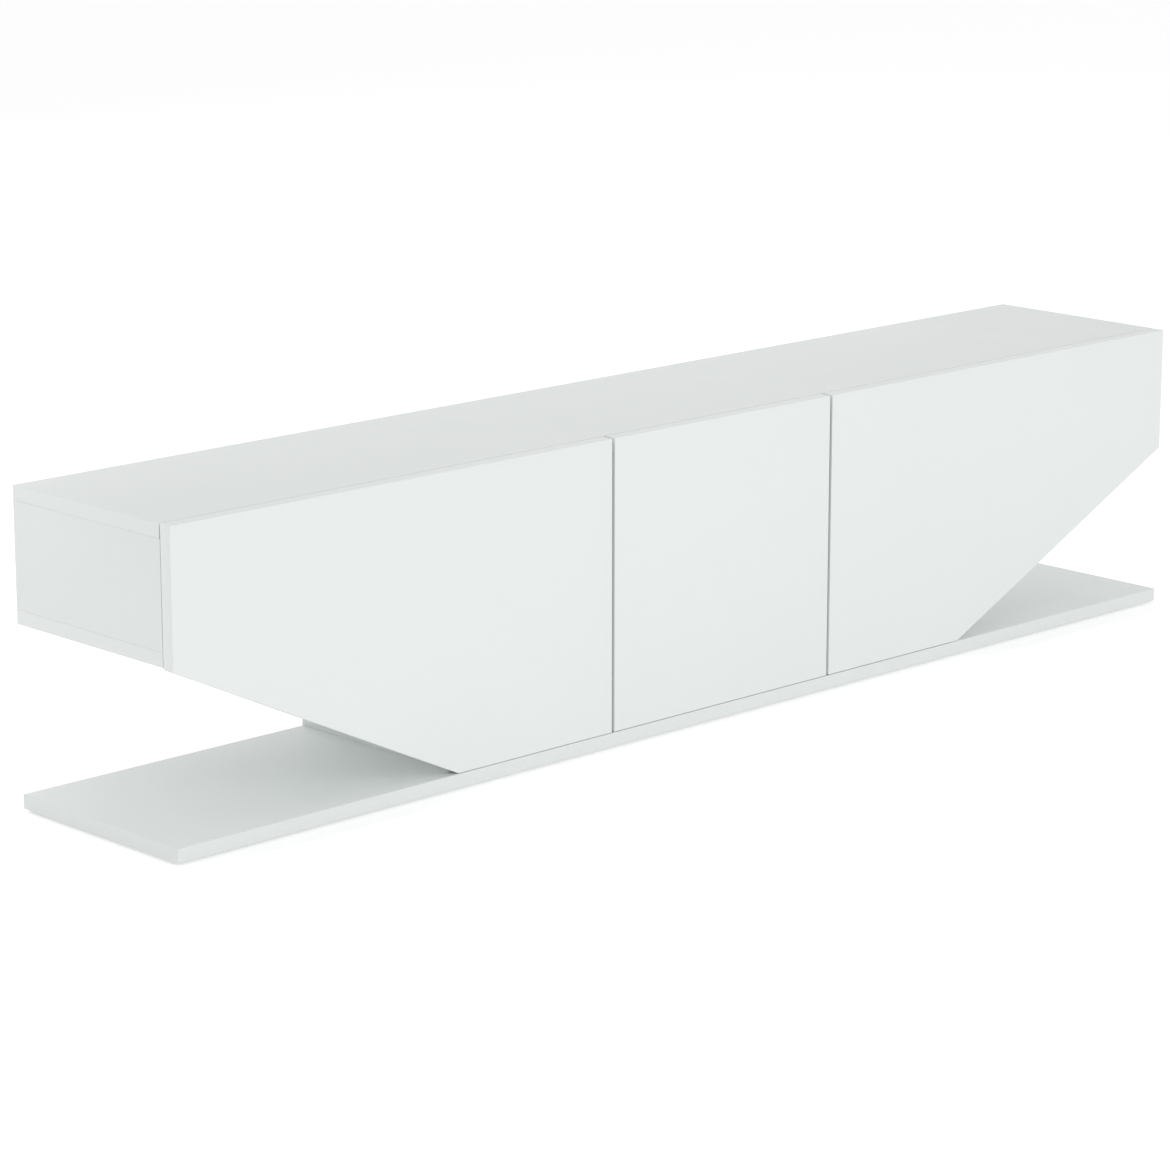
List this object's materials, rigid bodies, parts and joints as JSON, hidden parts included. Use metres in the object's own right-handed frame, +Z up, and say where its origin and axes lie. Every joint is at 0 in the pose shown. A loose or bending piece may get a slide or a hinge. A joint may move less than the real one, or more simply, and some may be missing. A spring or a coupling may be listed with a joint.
{
  "type": "low television stand with lift-up doors",
  "caption": "Low white TV stand: a long overhanging box with lift-up flap doors, carried by upright panels on a thin full-length base.",
  "frame": {"origin": "middle of the footprint, on the floor the glides stand on", "axes": "+X along the length, to the viewer's right when facing the doors; +Y from the doors to the back; +Z up"},
  "size_m": [1.8, 0.3, 0.403],
  "materials": {
    "white_board": "white melamine-faced chipboard with matching edging, satin",
    "back_board": "thin white-painted hardboard, dull",
    "hinge_nickel": "nickel-plated pressed steel",
    "strut_paint": "grey enamel",
    "strut_rod": "polished steel rod",
    "latch_plastic": "white moulded plastic",
    "glide_plastic": "grey moulded plastic"
  },
  "bodies": {
    "carcass": {"top_panel": "white_board", "box_floor_panel": "white_board", "base_panel": "white_board", "left_end_panel": "white_board", "left_support_panel": "white_board", "left_upper_divider": "white_board", "left_lower_divider": "white_board", "right_end_panel": "white_board", "right_support_panel": "white_board", "right_upper_divider": "white_board", "right_lower_divider": "white_board", "upper_back_panel": "back_board", "lower_back_panel": "back_board", "left_front_glide": "glide_plastic", "left_rear_glide": "glide_plastic", "middle_front_glide": "glide_plastic", "middle_rear_glide": "glide_plastic", "right_front_glide": "glide_plastic", "right_rear_glide": "glide_plastic", "left_hinge_a_arm": "hinge_nickel", "left_hinge_b_arm": "hinge_nickel", "left_strut_divider_bracket": "hinge_nickel", "left_latch_housing": "latch_plastic", "centre_hinge_a_arm": "hinge_nickel", "centre_hinge_b_arm": "hinge_nickel", "centre_strut_divider_bracket": "hinge_nickel", "centre_latch_housing": "latch_plastic", "right_hinge_a_arm": "hinge_nickel", "right_hinge_b_arm": "hinge_nickel", "right_strut_divider_bracket": "hinge_nickel", "right_latch_housing": "latch_plastic"},
    "left_door": {"left_door": "white_board", "left_hinge_a_cup": "hinge_nickel", "left_hinge_b_cup": "hinge_nickel", "left_strut_door_bracket": "hinge_nickel"},
    "left_hinge_links": {"left_hinge_a_link": "hinge_nickel", "left_hinge_b_link": "hinge_nickel"},
    "left_strut_tube": {"left_strut_tube": "strut_paint"},
    "left_strut_rod": {"left_strut_rod": "strut_rod"},
    "left_latch_plunger": {"left_latch_plunger": "glide_plastic"},
    "centre_door": {"centre_door": "white_board", "centre_hinge_a_cup": "hinge_nickel", "centre_hinge_b_cup": "hinge_nickel", "centre_strut_door_bracket": "hinge_nickel"},
    "centre_hinge_links": {"centre_hinge_a_link": "hinge_nickel", "centre_hinge_b_link": "hinge_nickel"},
    "centre_strut_tube": {"centre_strut_tube": "strut_paint"},
    "centre_strut_rod": {"centre_strut_rod": "strut_rod"},
    "centre_latch_plunger": {"centre_latch_plunger": "glide_plastic"},
    "right_door": {"right_door": "white_board", "right_hinge_a_cup": "hinge_nickel", "right_hinge_b_cup": "hinge_nickel", "right_strut_door_bracket": "hinge_nickel"},
    "right_hinge_links": {"right_hinge_a_link": "hinge_nickel", "right_hinge_b_link": "hinge_nickel"},
    "right_strut_tube": {"right_strut_tube": "strut_paint"},
    "right_strut_rod": {"right_strut_rod": "strut_rod"},
    "right_latch_plunger": {"right_latch_plunger": "glide_plastic"}
  },
  "joints": [
    {"name": "left_door_lift", "type": "hinge", "parent": "carcass", "child": "left_door", "pos_m": [-0.551, -0.1445, 0.3965], "axis": [-1, 0, 0], "range_deg": [0, 90]},
    {"name": "left_hinge_link_turn", "type": "hinge", "parent": "carcass", "child": "left_hinge_links", "pos_m": [-0.551, -0.127, 0.369], "axis": [1, 0, 0], "range_deg": [0, 20.35]},
    {"name": "left_strut_swing", "type": "hinge", "parent": "carcass", "child": "left_strut_tube", "pos_m": [-0.221, 0.017, 0.363], "axis": [-1, 0, 0], "range_deg": [0, 4.85]},
    {"name": "left_strut_extend", "type": "slide", "parent": "left_strut_tube", "child": "left_strut_rod", "axis": [0, -0.9982, -0.06], "range_m": [0, 0.06983]},
    {"name": "left_latch_press", "type": "slide", "parent": "carcass", "child": "left_latch_plunger", "axis": [0, -1, 0], "range_m": [0, 0.0121]},
    {"name": "centre_door_lift", "type": "hinge", "parent": "carcass", "child": "centre_door", "pos_m": [0, -0.1445, 0.3965], "axis": [-1, 0, 0], "range_deg": [0, 90]},
    {"name": "centre_hinge_link_turn", "type": "hinge", "parent": "carcass", "child": "centre_hinge_links", "pos_m": [0, -0.127, 0.369], "axis": [1, 0, 0], "range_deg": [0, 20.35]},
    {"name": "centre_strut_swing", "type": "hinge", "parent": "carcass", "child": "centre_strut_tube", "pos_m": [-0.179, 0.017, 0.363], "axis": [-1, 0, 0], "range_deg": [0, 4.85]},
    {"name": "centre_strut_extend", "type": "slide", "parent": "centre_strut_tube", "child": "centre_strut_rod", "axis": [0, -0.9982, -0.06], "range_m": [0, 0.06983]},
    {"name": "centre_latch_press", "type": "slide", "parent": "carcass", "child": "centre_latch_plunger", "axis": [0, -1, 0], "range_m": [0, 0.0121]},
    {"name": "right_door_lift", "type": "hinge", "parent": "carcass", "child": "right_door", "pos_m": [0.551, -0.1445, 0.3965], "axis": [-1, 0, 0], "range_deg": [0, 90]},
    {"name": "right_hinge_link_turn", "type": "hinge", "parent": "carcass", "child": "right_hinge_links", "pos_m": [0.551, -0.127, 0.369], "axis": [1, 0, 0], "range_deg": [0, 20.35]},
    {"name": "right_strut_swing", "type": "hinge", "parent": "carcass", "child": "right_strut_tube", "pos_m": [0.221, 0.017, 0.363], "axis": [-1, 0, 0], "range_deg": [0, 4.85]},
    {"name": "right_strut_extend", "type": "slide", "parent": "right_strut_tube", "child": "right_strut_rod", "axis": [0, -0.9982, -0.06], "range_m": [0, 0.06983]},
    {"name": "right_latch_press", "type": "slide", "parent": "carcass", "child": "right_latch_plunger", "axis": [0, -1, 0], "range_m": [0, 0.0121]}
  ],
  "couplings": [
    {"joint": "left_hinge_link_turn", "follows": "left_door_lift", "ratio": 0.226},
    {"joint": "left_strut_swing", "follows": "left_door_lift", "ratio": 0.053924},
    {"joint": "left_strut_extend", "follows": "left_door_lift", "m_per_rad": 0.04445},
    {"joint": "left_latch_press", "follows": "left_door_lift", "m_per_rad": 0.0076394},
    {"joint": "centre_hinge_link_turn", "follows": "centre_door_lift", "ratio": 0.226},
    {"joint": "centre_strut_swing", "follows": "centre_door_lift", "ratio": 0.053924},
    {"joint": "centre_strut_extend", "follows": "centre_door_lift", "m_per_rad": 0.04445},
    {"joint": "centre_latch_press", "follows": "centre_door_lift", "m_per_rad": 0.0076394},
    {"joint": "right_hinge_link_turn", "follows": "right_door_lift", "ratio": 0.226},
    {"joint": "right_strut_swing", "follows": "right_door_lift", "ratio": 0.053924},
    {"joint": "right_strut_extend", "follows": "right_door_lift", "m_per_rad": 0.04445},
    {"joint": "right_latch_press", "follows": "right_door_lift", "m_per_rad": 0.0076394}
  ]
}
